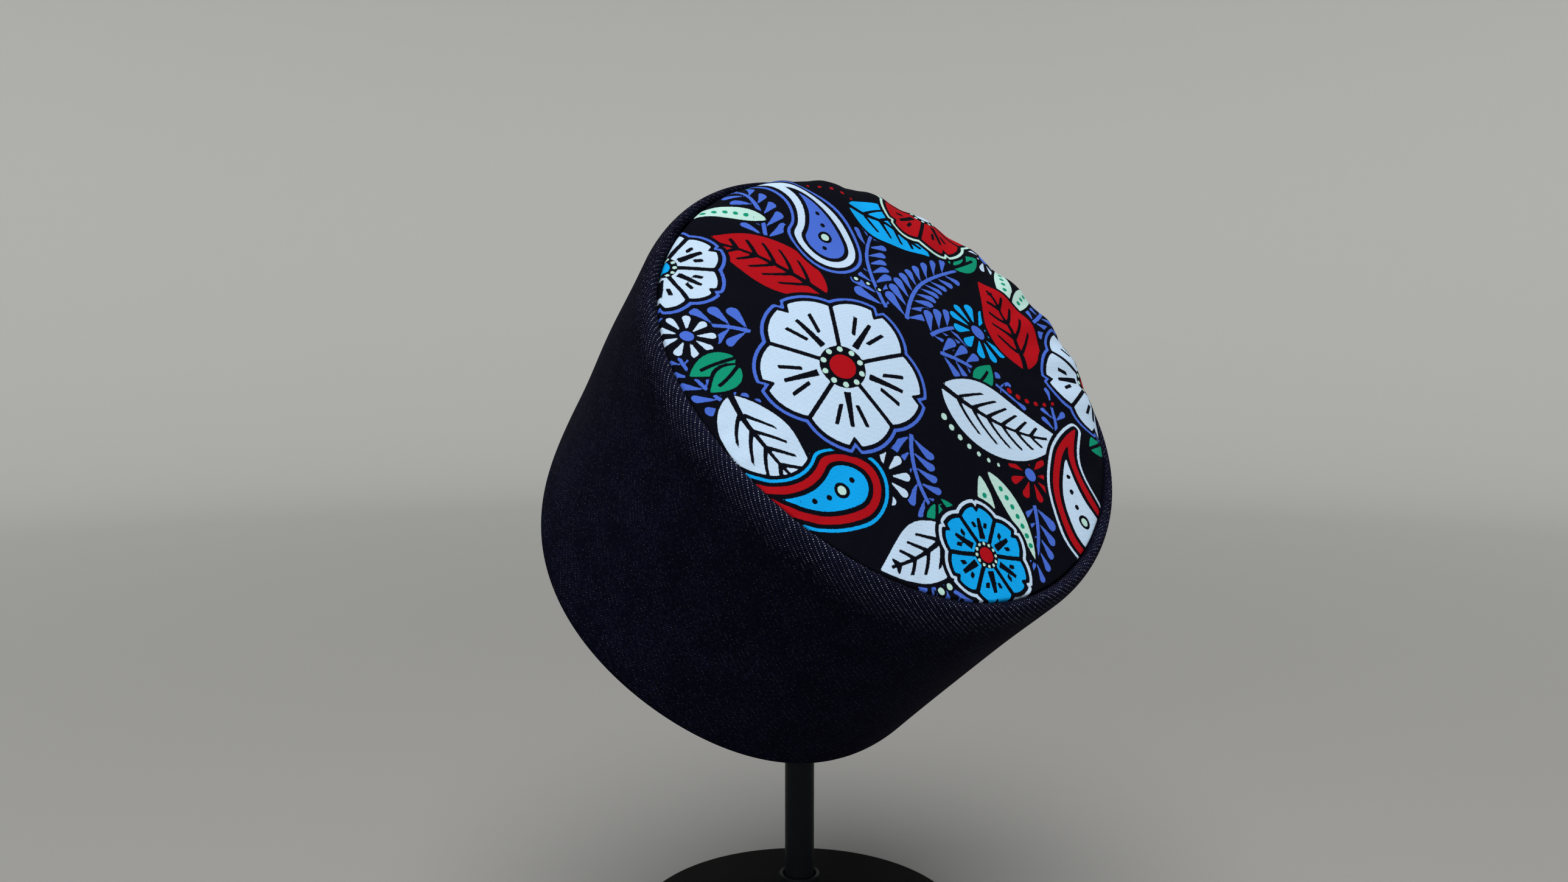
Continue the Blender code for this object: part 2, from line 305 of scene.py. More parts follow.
def crown_height(cap, angle, share):
    """Height of the crown's upper face, at a share of the seam's radius from its middle.

    A bell-shaped dome off the middle that dies out at the seam, plus the seam's own height
    growing with the square of the share, plus a fuller edge that carries puckers and, close
    to the seam, fine ripples.
    """
    radius = seam_radius(cap, angle) * share
    x = radius * np.cos(angle)
    y = radius * np.sin(angle) - cap.dome_centre
    dome = cap.dome_rise * np.exp(-(x * x + y * y) / (2 * cap.dome_spread ** 2))
    dome = dome * (1 - share ** 6)
    fall = np.clip((share - cap.edge_crest) / (1 - cap.edge_crest), 0, 1)
    edge = smooth(share, cap.edge_start, cap.edge_crest) * np.sqrt(1 - fall * fall)
    swell = swellings(angle, CROWN_EDGE_SWELLINGS)
    strength = cap.pucker_base + cap.pucker_share * swell
    puckers = strength * ripple(angle, cap.pucker_count, *PUCKER_WANDER)
    ripples = cap.ease * ripple(angle, *CROWN_RIPPLES) * smooth(share, 0.86, 0.97)
    level = (seam_height(angle) - cap.seam_sink) * share ** 2
    return level + dome + (swell + puckers + ripples) * edge


def cap_to_world(points):
    """Leans points of the cap's frame about X and moves them to the cap's seat."""
    place = np.array(Matrix.Translation(CAP_SEAT) @ Matrix.Rotation(CAP_TILT, 4, "X"))
    return points @ place[:3, :3].T + place[:3, 3]


def full_turn(steps):
    """Angles of a full turn, as a row."""
    return np.linspace(0, 2 * math.pi, steps, endpoint=False)[None, :]


def around(radius, height, angle):
    """Points at radii and heights round the Z axis."""
    x, y = radius * np.cos(angle), radius * np.sin(angle)
    return np.stack(np.broadcast_arrays(x, y, height), axis=-1)


def link_object(name, data):
    """An object of some data, linked to the scene."""
    made = bpy.data.objects.new(name, data)
    bpy.context.scene.collection.objects.link(made)
    return made


def mesh_object(name, points, faces, material):
    """A smooth mesh object of one material."""
    mesh = bpy.data.meshes.new(name)
    mesh.from_pydata(points.reshape(-1, 3).tolist(), [], faces)
    mesh.shade_smooth()
    mesh.materials.append(material)
    return link_object(name, mesh)


def make_piece(name, points, faces, material, node, uv=None):
    """A mesh object that stands for a node, which it hides, and rides on the body."""
    piece = mesh_object(name, points, faces, material)
    if uv is not None:
        layer = piece.data.uv_layers.new(name="cloth")
        layer.data.foreach_set("uv", uv.reshape(-1).astype(np.float32))
    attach(piece, "root")
    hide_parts(node)
    return piece


def set_attribute(piece, name, values):
    """Stores a number, or three, at each vertex."""
    kind, field = ("FLOAT", "value") if values.ndim == 1 else ("FLOAT_VECTOR", "vector")
    layer = piece.data.attributes.new(name, kind, "POINT")
    layer.data.foreach_set(field, values.reshape(-1).astype(np.float32))


def grid_quads(rows, columns, close_rows=False, close_columns=False):
    """Corner indices of the quads of a grid, which may close on itself either way."""
    row = np.arange(rows if close_rows else rows - 1)[:, None]
    column = np.arange(columns if close_columns else columns - 1)[None, :]
    below = (row + 1) % rows
    after = (column + 1) % columns
    corners = [row * columns + column, below * columns + column]
    corners += [below * columns + after, row * columns + after]
    return np.stack(corners, axis=-1).reshape(-1, 4)


def ring_fan(ring, middle):
    """Triangles from a closed ring of points to a middle point."""
    return np.stack([ring, np.roll(ring, -1), np.full_like(ring, middle)], axis=-1)


class Value:
    """A number, vector or colour of a shader tree. Arithmetic with it adds Math nodes."""

    def __init__(self, socket):
        self.socket = socket
        self.tree = socket.id_data

    def maths(self, operation, *others, clamp=False):
        """The result of a Math node on this value and others."""
        return one_of(self.tree, "ShaderNodeMath", 0, dict(enumerate((self, *others))),
                      operation=operation, use_clamp=clamp)

    def __add__(self, other):
        return self.maths("ADD", other)

    def __sub__(self, other):
        return self.maths("SUBTRACT", other)

    def __mul__(self, other):
        return self.maths("MULTIPLY", other)

    def __truediv__(self, other):
        return self.maths("DIVIDE", other)


def set_inputs(node, inputs):
    """Links or sets inputs of a node. A colour gets an alpha of one."""
    for key, value in inputs.items():
        socket = node.inputs[key]
        if isinstance(value, Value):
            node.id_data.links.new(value.socket, socket)
        elif socket.type == "RGBA":
            socket.default_value = (*value, 1.0)
        else:
            socket.default_value = value


def add_node(tree, kind, inputs, **settings):
    """Adds a shader node, with its settings and inputs, and gives its outputs."""
    made = tree.nodes.new(kind)
    for name, value in settings.items():
        setattr(made, name, value)
    set_inputs(made, inputs)
    return made.outputs


def one_of(tree, kind, output, inputs, **settings):
    """Adds a shader node and gives one of its outputs as a Value."""
    return Value(add_node(tree, kind, inputs, **settings)[output])


def mapped(value, start, end, low=0.0, high=1.0):
    """A value mapped smoothly from one range to another."""
    inputs = {"Value": value, "From Min": start, "From Max": end, "To Min": low, "To Max": high}
    return one_of(value.tree, "ShaderNodeMapRange", "Result", inputs,
                  interpolation_type="SMOOTHSTEP")


def mixed(factor, first, second):
    """A mix of two colours. Sockets 6 and 7, and result 2, are the Mix node's colours."""
    return one_of(factor.tree, "ShaderNodeMix", 2, {0: factor, 6: first, 7: second},
                  data_type="RGBA", blend_type="MIX")


def noise(vector, scale, detail):
    """Smooth noise at a place."""
    return one_of(vector.tree, "ShaderNodeTexNoise", "Fac",
                  {"Vector": vector, "Scale": scale, "Detail": detail})


def cell_noise(column, row):
    """Random value and random colour of each cell of a grid, as outputs."""
    return add_node(column.tree, "ShaderNodeTexWhiteNoise", {"Vector": joined(column, row)},
                    noise_dimensions="2D")


def split(vector):
    """The three parts of a vector or colour."""
    outputs = add_node(vector.tree, "ShaderNodeSeparateXYZ", {"Vector": vector})
    return [Value(output) for output in outputs]


def joined(x, y):
    """A vector of two parts."""
    return one_of(x.tree, "ShaderNodeCombineXYZ", "Vector", {"X": x, "Y": y})


def bump(height, distance):
    """The normal of a relief of a real height."""
    return one_of(height.tree, "ShaderNodeBump", "Normal",
                  {"Height": height, "Distance": distance, "Strength": 1.0})


def attribute(tree, name, output="Fac"):
    """A number, or three, stored at the vertices."""
    return one_of(tree, "ShaderNodeAttribute", output, {}, attribute_name=name)


def cloth_place(tree):
    """The place on the cloth, in metres of cloth."""
    return one_of(tree, "ShaderNodeUVMap", "UV", {}, uv_map="cloth")


def object_place(tree):
    """The place on the object, in metres."""
    return one_of(tree, "ShaderNodeTexCoord", "Object", {})


def new_group(name, inputs, outputs):
    """A shader node group: its tree, its inputs as Values, and its output node."""
    tree = bpy.data.node_groups.new(name, "ShaderNodeTree")
    for label, kind in inputs.items():
        tree.interface.new_socket(label, in_out="INPUT", socket_type=kind)
    for label in outputs:
        tree.interface.new_socket(label, in_out="OUTPUT", socket_type="NodeSocketFloat")
    sockets = tree.nodes.new("NodeGroupInput").outputs
    inside = [Value(sockets[label]) for label in inputs]
    return tree, inside, tree.nodes.new("NodeGroupOutput")


def from_group(tree, name, maker, inputs):
    """The outputs of a shared node group, which is made once, as Values by their names."""
    group = bpy.data.node_groups.get(name) or maker(name)
    outputs = add_node(tree, "ShaderNodeGroup", inputs, node_tree=group)
    return {output.name: Value(output) for output in outputs}


def threads(cloth, across_pitch, up_pitch):
    """Thread numbers of a place on the cloth, exact both ways, and whole both ways."""
    u, v, _ = split(cloth)
    across, up = u / across_pitch, v / up_pitch
    return across, up, across.maths("FLOOR"), up.maths("FLOOR")


def thread_relief(number):
    """Rounded height across each thread."""
    return (number * math.pi).maths("SINE").maths("ABSOLUTE")


def twill_group(name):
    """Three-up one-down twill: where the weft shows, random numbers there, and relief.

    Warp threads run along U and weft threads along V. A weft thread passes over where the
    two thread numbers differ by a multiple of four, so the places that show it lie on
    slanting lines, with ridges of warp between them.
    """
    tree, (cloth, warp_pitch, weft_pitch), out = new_group(
        name, {"Cloth": "NodeSocketVector", "Warp Pitch": "NodeSocketFloat",
               "Weft Pitch": "NodeSocketFloat"},
        ("Weft", "Random", "Glint", "Ridge", "Relief"))
    across, down, column, row = threads(cloth, weft_pitch, warp_pitch)
    shows = (row - column).maths("FLOORED_MODULO", 4.0).maths("LESS_THAN", 0.5)
    wide = (across.maths("FRACT") - 0.5) / 0.30
    tall = (down.maths("FRACT") - 0.5) / 0.45
    reach = (wide * wide + tall * tall).maths("SQRT")
    spot = shows * mapped(reach, 1.05, 0.55)
    dice = cell_noise(column, row)
    ridge = ((down - across) * (math.pi / 2)).maths("COSINE") * -0.5 + 0.5
    relief = spot * 0.25 + (thread_relief(down) * 0.35 + ridge * 0.6)
    set_inputs(out, {"Weft": spot, "Random": Value(dice["Value"]),
                     "Glint": split(Value(dice["Color"]))[1], "Ridge": ridge, "Relief": relief})
    return tree


def plain_weave_group(name):
    """Plain weave: relief of the crossing threads, and a random number for each crossing."""
    tree, (cloth, thread), out = new_group(
        name, {"Cloth": "NodeSocketVector", "Thread": "NodeSocketFloat"}, ("Relief", "Random"))
    across, up, column, row = threads(cloth, thread, thread)
    over = (column + row).maths("FLOORED_MODULO", 2.0)
    side = thread_relief(across).maths("POWER", over * -0.7 + 1.0)
    rise = thread_relief(up).maths("POWER", over * 0.7 + 0.3)
    set_inputs(out, {"Relief": side * rise, "Random": Value(cell_noise(column, row)["Value"])})
    return tree


def coating_group(name):
    """Satin coating: fine orange-peel relief, and slow changes of gloss."""
    tree, (place, roughness), out = new_group(
        name, {"Place": "NodeSocketVector", "Roughness": "NodeSocketFloat"},
        ("Relief", "Roughness"))
    change = noise(place, 45.0, 4.0) * 0.16 - 0.08
    set_inputs(out, {"Relief": noise(place, 1400.0, 2.0), "Roughness": roughness + change})
    return tree


def new_material(name):
    """A new material, with its tree and its Principled BSDF."""
    material = bpy.data.materials.new(name)
    material.use_nodes = True
    return material, material.node_tree, material.node_tree.nodes["Principled BSDF"]


def denim_material(denim):
    """Raw indigo twill: nearly black, with pale specks of weft where the cloth is bent, brightest
    as painted highlight on the lit side of the roll, and with painted shading in the twill's
    furrows.

    Its reverse is paler, because the weft lies on top there.
    """
    material, tree, shader = new_material("denim")
    cloth = cloth_place(tree)
    weave = from_group(tree, "twill_weave", twill_group,
                       {"Cloth": cloth, "Warp Pitch": denim.warp_pitch,
                        "Weft Pitch": denim.weft_pitch})
    opened_and_lit = attribute(tree, "opened_and_lit")

    # Uneven indigo: thick and thin threads and faded patches, with painted shading in the twill's
    # furrows
    u, v, _ = split(cloth)
    slub = noise(joined(u * 800.0, v * (1.0 / denim.warp_pitch)), 1.0, 3.0)
    patch = noise(object_place(tree), 90.0, 4.0)
    patches = mapped(patch, 0.32, 0.68)
    pale = mapped(slub, 0.38, 0.72) * (weave["Ridge"] * 0.75 + 0.25) * (patches * 0.5 + 0.5)
    # Paler ground on the roll where its twill opens, partly painted light where light falls on the
    # roll
    lifted = (opened_and_lit * 0.22).maths("ADD", pale, clamp=True)
    ground = mixed(lifted, denim.warp, denim.warp_light)

    # Specks of weft: more of them and brighter where the twill opens on the roll, brightest as
    # painted highlight where light falls on the roll
    chance = opened_and_lit * 0.75 + (patches * 0.45 + 0.35)
    chosen = mapped(weave["Random"] - chance, 0.05, -0.15)
    glint = weave["Glint"].maths("POWER", 2.2)
    bright = (glint * 0.085 + 0.022) + opened_and_lit * (glint * 0.68 + 0.09)
    face = mixed(weave["Weft"] * chosen * bright, ground, denim.weft)

    # The reverse: warp shows where the face shows weft, with painted shading in the twill's furrows
    under = (weave["Ridge"] * -0.35 + 0.45) + weave["Weft"] * 0.5
    back = mixed(under, denim.back, denim.warp_light)
    set_inputs(shader, {
        "Base Color": mixed(attribute(tree, "reverse"), face, back),
        "Roughness": patch * 0.12 + 0.78,
        "Normal": bump(weave["Relief"], 0.00012),
        "Specular IOR Level": 0.02,
    })
    return material


# Inks by the vertex attribute that holds the distances outside them
INKS = {"print_a": ("white", "violet", "red"), "print_b": ("cyan", "mint", "green")}


def print_material(inks):
    """Plain-weave cotton with flat inks, which show through dimly on its reverse, with painted
    shading in the hollows of the weave.
    """
    material, tree, shader = new_material("printed_cotton")
    weave = from_group(tree, "plain_weave", plain_weave_group,
                       {"Cloth": cloth_place(tree), "Thread": inks.thread})
    reverse = attribute(tree, "reverse")
    spread = reverse * 1.1 + 0.09
    within = spread * -1.0
    bleed = weave["Random"] * 0.12 - 0.06
    shown = inks.ground
    for stored, names in INKS.items():
        for part, name in zip(split(attribute(tree, stored, "Vector")), names):
            shown = mixed(mapped(part + bleed, spread, within), shown, getattr(inks, name))
    # Painted shading in the hollows between the threads, and dimmer ink on the reverse
    weave_shading_and_faint_reverse = (weave["Relief"] * 0.34 + 0.66) * (reverse * -0.72 + 1.0)
    set_inputs(shader, {
        "Base Color": mixed(weave_shading_and_faint_reverse, (0.0, 0.0, 0.0), shown),
        "Roughness": weave["Random"] * 0.10 + 0.76,
        "Normal": bump(weave["Relief"], 0.00008),
        "Specular IOR Level": 0.04,
    })
    return material


def coated_material(name, rgb, roughness, relief, specular):
    """A satin coating over metal or plastic, with a little dust."""
    material, tree, shader = new_material(name)
    place = object_place(tree)
    coat = from_group(tree, "satin_coating", coating_group,
                      {"Place": place, "Roughness": roughness})
    dust = mapped(noise(place, 900.0, 1.0), 0.70, 0.80, 0.0, 0.05)
    set_inputs(shader, {
        "Base Color": mixed(dust, rgb, (0.25, 0.25, 0.26)),
        "Roughness": coat["Roughness"],
        "Normal": bump(coat["Relief"], relief),
        "Specular IOR Level": specular,
    })
    return material


def join_relief(cap, angle):
    """How far the band stands out near its one join: proud over the edges that are pressed
    open under it, with a narrow bell-shaped furrow where they meet.
    """
    soft = 0.0008
    aside = cap.seam_radius * (1 - np.cos(angle - JOIN_ANGLE)) ** 0.5 * math.sqrt(2)
    proud = cap.join_rise * (1 - smooth(aside, cap.join_edge - soft, cap.join_edge + soft))
    return proud - cap.join_furrow * np.exp(-(aside / cap.join_width) ** 2)


def band_stations(cap, angle):
    """Radius and height of the band's closed section, as arrays of station by angle, and the
    numbers of the stations where the roll and the cloth's reverse begin.

    From a lip under the crown's edge up past it, over the roll by a straight run and a
    quarter ellipse, down the wall by its own formulas, round the hem by a half ellipse, and
    up the inner face a wall's thickness inside, which steps in where the hem is turned.
    """
    seam = seam_radius(cap, angle)
    level = seam_height(angle)
    width = roll_width(cap, angle)
    crest = cap.roll_crest * width
    pull = cap.ease * ripple(angle, *BAND_RIPPLES)
    join = join_relief(cap, angle)
    below = level - cap.seam_allowance - cap.gap
    stations = [
        (seam - cap.seam_lip, below - cap.least_edge),
        (seam - cap.seam_lip, below),
        (seam + cap.gap, below),
        (seam + cap.gap / 2, level - 3 * cap.seam_sink),
        (seam, level - 2 * cap.seam_sink),
        (seam + crest * 0.08, level - cap.seam_sink),
        (seam + crest / 3, level + pull),
        (seam + crest * 0.66, level + 0.75 * cap.roll_rise + pull / 2),
    ]
    roll_row = 5
    for turn in np.linspace(math.pi / 2, 0, ROLL_STEPS + 1):
        out = crest + (width - crest) * math.cos(turn)
        drop = cap.roll_depth * (1 - math.sin(turn))
        stations.append((seam + out + join * math.cos(turn),
                         level + cap.roll_rise - drop + join * math.sin(turn)))
    for share in np.linspace(0, 1, WALL_STEPS + 1)[1:-1]:
        sway = 0.0004 * math.sin(math.pi * share) * np.sin(7 * angle + 5 * share)
        stations.append((wall_radius(cap, angle, share) + sway + join,
                         wall_height(cap, angle, share)))
    for turn in np.linspace(0, math.pi, HEM_STEPS + 1):
        radius = wall_radius(cap, angle, 1) - cap.hem_wall / 2 * (1 - math.cos(turn))
        height = wall_height(cap, angle, 1) - (cap.hem_round + join) * math.sin(turn)
        stations.append((radius + join * max(0, math.cos(turn)), height))
    reverse_row = len(stations) + 3
    turned = 1 - cap.hem_turn / cap.band_depth
    soft = 0.012
    for share in np.linspace(1, 0, INNER_STEPS + 1)[1:]:
        step = (cap.hem_wall - cap.wall) * smooth(share, turned - soft, turned + soft)
        radius = wall_radius(cap, angle, share) - cap.wall - step
        if share == 0:
            radius = np.maximum(radius, seam + cap.gap + cap.least_edge)
        stations.append((radius, wall_height(cap, angle, share)))
    stations.append((radius, below - cap.least_edge))
    return np.array(stations), roll_row, reverse_row


def opened_and_lit_twill(angle, run):
    """How far the bent twill shows its weft, at distances run down from the seam, most on the lit
    side of the roll, where it is partly painted highlight.
    """
    near = run + 0.0006 * np.sin(5 * angle + 1.0) + 0.0004 * np.sin(13 * angle)
    late = swellings(angle, LATE_WEFT)
    out, back = (smooth(near, early[0] + later[0] * late, early[1] + later[1] * late)
                 for early, later in ((WEFT_OUT, LATE_OUT), (WEFT_IN, LATE_IN)))
    return out * (1 - back) * (LEAST_WEFT + swellings(angle, LIT_SIDE_WEFT))


def make_band(cap, denim):
    """The denim band: its section carried round the cap, with cloth lengths as its UV map."""
    near_join = 4 * cap.join_width / cap.seam_radius
    fine = np.linspace(0, near_join, JOIN_STEPS, endpoint=False)
    coarse = np.linspace(near_join, 2 * math.pi - near_join, BAND_STEPS - 2 * JOIN_STEPS + 1)
    turns = np.concatenate([fine, coarse[:-1], 2 * math.pi - near_join + fine])
    angle = JOIN_ANGLE + turns
    section, roll_row, reverse_row = band_stations(cap, angle)
    radius, height = section[:, 0], section[:, 1]
    rows = len(section)

    stretch = np.hypot(np.diff(radius, axis=0), np.diff(height, axis=0)).mean(axis=1)
    back = np.hypot(radius[0] - radius[-1], height[0] - height[-1]).mean()
    depth = np.concatenate([[0], np.cumsum(np.append(stretch, back))])
    repeats = round(2 * math.pi * cap.hem_radius / denim.weft_pitch / 4) * 4
    length = np.append(turns / (2 * math.pi), 1) * repeats * denim.weft_pitch
    uv = np.empty((rows, BAND_STEPS, 4, 2))
    uv[..., 0] = np.stack([length[:-1], length[:-1], length[1:], length[1:]], axis=-1)
    uv[..., 1] = np.stack([depth[:-1], depth[1:], depth[1:], depth[:-1]], axis=-1)[:, None, :]

    quads = grid_quads(rows, BAND_STEPS, close_rows=True, close_columns=True)
    piece = make_piece("denim_band", cap_to_world(around(radius, height, angle)),
                       quads.tolist(), denim_material(denim), "side_band", uv)
    opened_and_lit = opened_and_lit_twill(angle, depth[:-1, None] - depth[roll_row])
    set_attribute(piece, "opened_and_lit", opened_and_lit.reshape(-1))
    reverse = np.repeat(np.arange(rows) >= reverse_row, BAND_STEPS)
    set_attribute(piece, "reverse", reverse.astype(float))


def disc_grid(cells):
    """Angle and share of the radius of the points of a square grid spread over a disc.

    The larger of a point's two square coordinates is its share, and its angle turns by up
    to 45 degrees with the ratio of the smaller to the larger.
    """
    line = np.linspace(-1, 1, cells + 1)
    across, up = np.meshgrid(line, line, indexing="ij")
    wide = np.abs(across) > np.abs(up)
    larger = np.where(wide, across, up)
    ratio = np.where(wide, up, across) / np.where(larger == 0, 1, larger)
    angle = np.where(wide, math.pi / 4 * ratio, math.pi / 2 - math.pi / 4 * ratio)
    return np.arctan2(larger * np.sin(angle), larger * np.cos(angle)), np.abs(larger)


def border(cells):
    """Indices of a square grid's border points, going round with X turning to Y."""
    side = np.arange(cells)
    width = cells + 1
    return np.concatenate([side * width, cells * width + side, (cells - side) * width + cells,
                           cells - side])


def crown_points(cap, cells, inset, drop):
    """Points of the crown's surface on a disc grid, an inset inside the seam, lowered."""
    angle, share = disc_grid(cells)
    radius = (seam_radius(cap, angle) - inset) * share
    height = crown_height(cap, angle, radius / seam_radius(cap, angle)) - drop
    return around(radius, height, angle).reshape(-1, 3)


def make_crown(cap, inks):
    """The printed crown: a fine upper face, a tucked edge, and a coarser underside.

    Each edge of the underside's border meets four edges of the tucked edge's last ring.
    """
    top = crown_points(cap, CROWN_CELLS, 2 * cap.gap, 0)
    under = crown_points(cap, UNDERSIDE_CELLS, cap.gap + cap.crown_wall, cap.crown_wall)
    rim = border(CROWN_CELLS)
    angle = np.arctan2(top[rim, 1], top[rim, 0])
    edge = seam_radius(cap, angle) - cap.gap
    level = seam_height(angle)
    skirt = np.stack([
        around(edge, level - 2 * cap.seam_sink, angle),
        around(edge, level - cap.seam_allowance, angle),
        around(edge - cap.crown_wall, level - cap.seam_allowance, angle),
    ])

    top_faces = grid_quads(CROWN_CELLS + 1, CROWN_CELLS + 1)
    rings = np.vstack([rim] + [len(top) + row * len(rim) + np.arange(len(rim)) for row in range(3)])
    after = np.roll(rings, -1, axis=1)
    skirt_faces = np.stack([rings[:-1], rings[1:], after[1:], after[:-1]], axis=-1).reshape(-1, 4)
    start = len(top) + skirt[..., 0].size
    under_faces = start + grid_quads(UNDERSIDE_CELLS + 1, UNDERSIDE_CELLS + 1)[:, ::-1]
    coarse = start + border(UNDERSIDE_CELLS)
    coarse_after = np.roll(coarse, -1)
    last, last_after = rings[3].reshape(-1, 4), after[3].reshape(-1, 4)
    fans = [np.stack([last[:, k], coarse if k < 2 else coarse_after, last_after[:, k]], axis=-1)
            for k in range(4)]
    fans.append(np.stack([last[:, 2], coarse, coarse_after], axis=-1))

    quads = np.concatenate([top_faces, skirt_faces, under_faces])
    triangles = np.concatenate(fans)
    flat = np.concatenate([top, skirt.reshape(-1, 3), under])
    corners = np.concatenate([quads.reshape(-1), triangles.reshape(-1)])
    piece = make_piece("crown_cloth", cap_to_world(flat), quads.tolist() + triangles.tolist(),
                       print_material(inks), "crown_panel",
                       flat[corners, :2])
    layers = even_layers(flat[:, 0] * 1000, flat[:, 1] * 1000)
    for stored, names in INKS.items():
        set_attribute(piece, stored, np.stack([layers[name] for name in names], axis=-1))
    reverse = np.arange(len(flat)) >= len(top) + len(rim)
    set_attribute(piece, "reverse", reverse.astype(float))


# The print: a scattered garden design, in millimetres of cloth. Its own axes are turned so
# that +P runs to the right and +Q away, as the leaning cap is seen. Each row starts with the
# P and Q of the motif's root or middle, its turn and curl in degrees, and its length, which
# is the radius for bursts and blossoms.
PRINT_TURN = math.radians(311)

# Width of the black outline round a motif, and the place and width of a line drawn round it
OUTLINE = 1.3
LINE_AWAY = 2.0
LINE_HALF = 0.55
LINE_REACH = 2.6

# Vines, each row ends with the first leaflet's length
VINES = (
    (-16, 8, 142, -60, 52, 10.5),
    (-8, 10, 108, -50, 50, 10.5),
    (2, 12, 74, -40, 46, 10.0),
    (8, 8, 36, -30, 34, 9.5),
    (-46, -34, 196, 70, 38, 9.0),
    (14, -30, -66, 70, 40, 9.5),
    (60, 6, 84, 50, 30, 8.5),
    (-62, 6, 118, 60, 40, 9.0),
    (30, -66, -14, 50, 40, 9.0),
    (30, 56, 66, 50, 34, 9.0),
    (-24, -62, 196, -50, 36, 9.0),
    (62, -14, -50, -50, 30, 8.5),
)

# Trails of dots: spacing, radius, ink
TRAILS = (
    (-45, -3, 66, -60, 30, 4.4, 1.3, "mint"),
    (20, -14, -20, 60, 30, 4.2, 1.2, "mint"),
    (36, 22, 10, 60, 26, 4.0, 1.2, "red"),
    (-36, 50, 160, 60, 30, 4.2, 1.2, "red"),
    (-2, -66, 190, -40, 26, 4.0, 1.2, "mint"),
    (46, -70, 60, 60, 24, 4.0, 1.2, "mint"),
    (-80, -6, 250, 60, 22, 4.0, 1.2, "red"),
)

# Bursts of drops: number of drops, ink
BURSTS = (
    (16, 36, 0, 0, 13, 11, "cyan"),
    (56, -4, 0, 0, 10, 9, "red"),
    (13, -50, 0, 0, 10, 9, "white"),
    (-40, 20, 0, 0, 9, 9, "red"),
    (-60, -48, 0, 0, 9, 9, "white"),
    (4, 78, 0, 0, 9, 9, "white"),
)

# Small green leaves: half width
SMALL_LEAVES = (
    (-44, -46, 235, 20, 17, 4.2),
    (-42, -48, 275, -20, 15, 3.8),
    (24, 8, 75, 20, 17, 4.2),
    (25, 6, 40, -20, 15, 3.8),
    (-4, 58, 60, 20, 16, 4.0),
    (-5, 59, 105, -20, 14, 3.6),
    (32, -42, -20, 20, 16, 4.0),
    (32, -44, -60, -20, 14, 3.6),
    (72, 28, 60, 20, 16, 4.0),
    (-74, 36, 200, 20, 15, 3.8),
)

# Pods with seeds: half width
PODS = (
    (0, -58, 212, 40, 34, 3.7),
    (2, -60, 246, 30, 30, 3.5),
    (40, -22, -42, -40, 34, 3.7),
    (42, -18, -8, -40, 32, 3.5),
    (22, 58, 128, -30, 28, 3.5),
    (24, 60, 96, -30, 26, 3.4),
    (-66, 14, 190, 40, 28, 3.5),
)

# Large leaves: half width, ink
LEAVES = (
    (-34, -4, 170, 30, 46, 11.0, "red"),
    (14, -4, 8, 40, 54, 13.5, "white"),
    (-48, 46, 28, -30, 36, 9.5, "cyan"),
    (38, 38, 128, 30, 40, 11.0, "red"),
    (-38, -60, -36, 40, 46, 11.5, "white"),
    (40, -48, -98, -30, 34, 9.5, "white"),
)

# Paisleys: half width, two inks
PAISLEYS = (
    (64, 30, 262, 100, 54, 12.0, "red", "white"),
    (-78, 34, 20, -110, 50, 11.5, "white", "violet"),
    (-22, -84, -4, 110, 50, 11.0, "red", "cyan"),
)

# Blossoms: number of petals, ink of the petals, the heart and the line
BLOSSOMS = (
    (-16, -26, 20, 0, 28, 5, "white", "red", "violet"),
    (54, -46, 10, 0, 16, 6, "cyan", "red", "white"),
    (-24, 76, 30, 0, 20, 5, "red", "white", "mint"),
    (62, 58, 10, 0, 22, 5, "white", "red", "violet"),
    (-82, -26, 0, 0, 19, 6, "white", "cyan", "violet"),
)


def moved(p, q, at_p, at_q, turn, curl, length):
    """Coordinates along and across a motif, which starts at a point, turned in degrees.

    Where it curls, they follow an arc that turns by that many degrees over its length.
    """
    cosine, sine = math.cos(math.radians(turn)), math.sin(math.radians(turn))
    along = (p - at_p) * cosine + (q - at_q) * sine
    across = (q - at_q) * cosine - (p - at_p) * sine
    if curl == 0:
        return along, across
    side = math.copysign(1, curl)
    bend = length / abs(math.radians(curl))
    inward = bend - side * across
    return bend * np.arctan2(along, inward), side * (bend - np.hypot(along, inward))


def leaf_distance(along, across, length, half_width, fullest=0.8):
    """Distance outside a leaf, pointed at both ends, its width a sine of a power."""
    share = np.clip(along / length, 0, 1)
    width = half_width * np.sin(math.pi * share ** fullest) ** 0.9
    beyond = along - share * length
    return np.where(np.abs(beyond) < 1e-9, np.abs(across) - width, np.hypot(beyond, across))


def drop_distance(along, across, length, half_width, tip=0.2):
    """Distance outside a drop: straight sides from a small round tip to a large round end."""
    reach = length - half_width - tip
    lean = (tip - half_width) / reach
    upright = math.sqrt(1 - lean * lean)
    side = np.abs(across)
    ahead = along - tip
    climb = upright * ahead - lean * side
    body = upright * side + lean * ahead - tip
    start = np.hypot(side, ahead) - tip
    end = np.hypot(side, ahead - reach) - half_width
    return np.where(climb < 0, start, np.where(climb > upright * reach, end, body))


def folded(along, across, count):
    """Coordinates out and aside, folded into one of count equal wedges."""
    wedge = 2 * math.pi / count
    angle = (np.arctan2(across, along) + wedge / 2) % wedge - wedge / 2
    radius = np.hypot(along, across)
    return radius * np.cos(angle), radius * np.sin(angle)


def repeated(value, pitch):
    """Distance from the nearest of the places one pitch apart."""
    return np.abs((value + pitch / 2) % pitch - pitch / 2)


def overlap(*shapes):
    """Distance outside the place that all shapes share."""
    return functools.reduce(np.maximum, shapes)


def union(*shapes):
    """Distance outside all shapes together."""
    return functools.reduce(np.minimum, shapes)


def line_round(shape):
    """Distance outside a line drawn round a shape."""
    return np.abs(shape - LINE_AWAY) - LINE_HALF


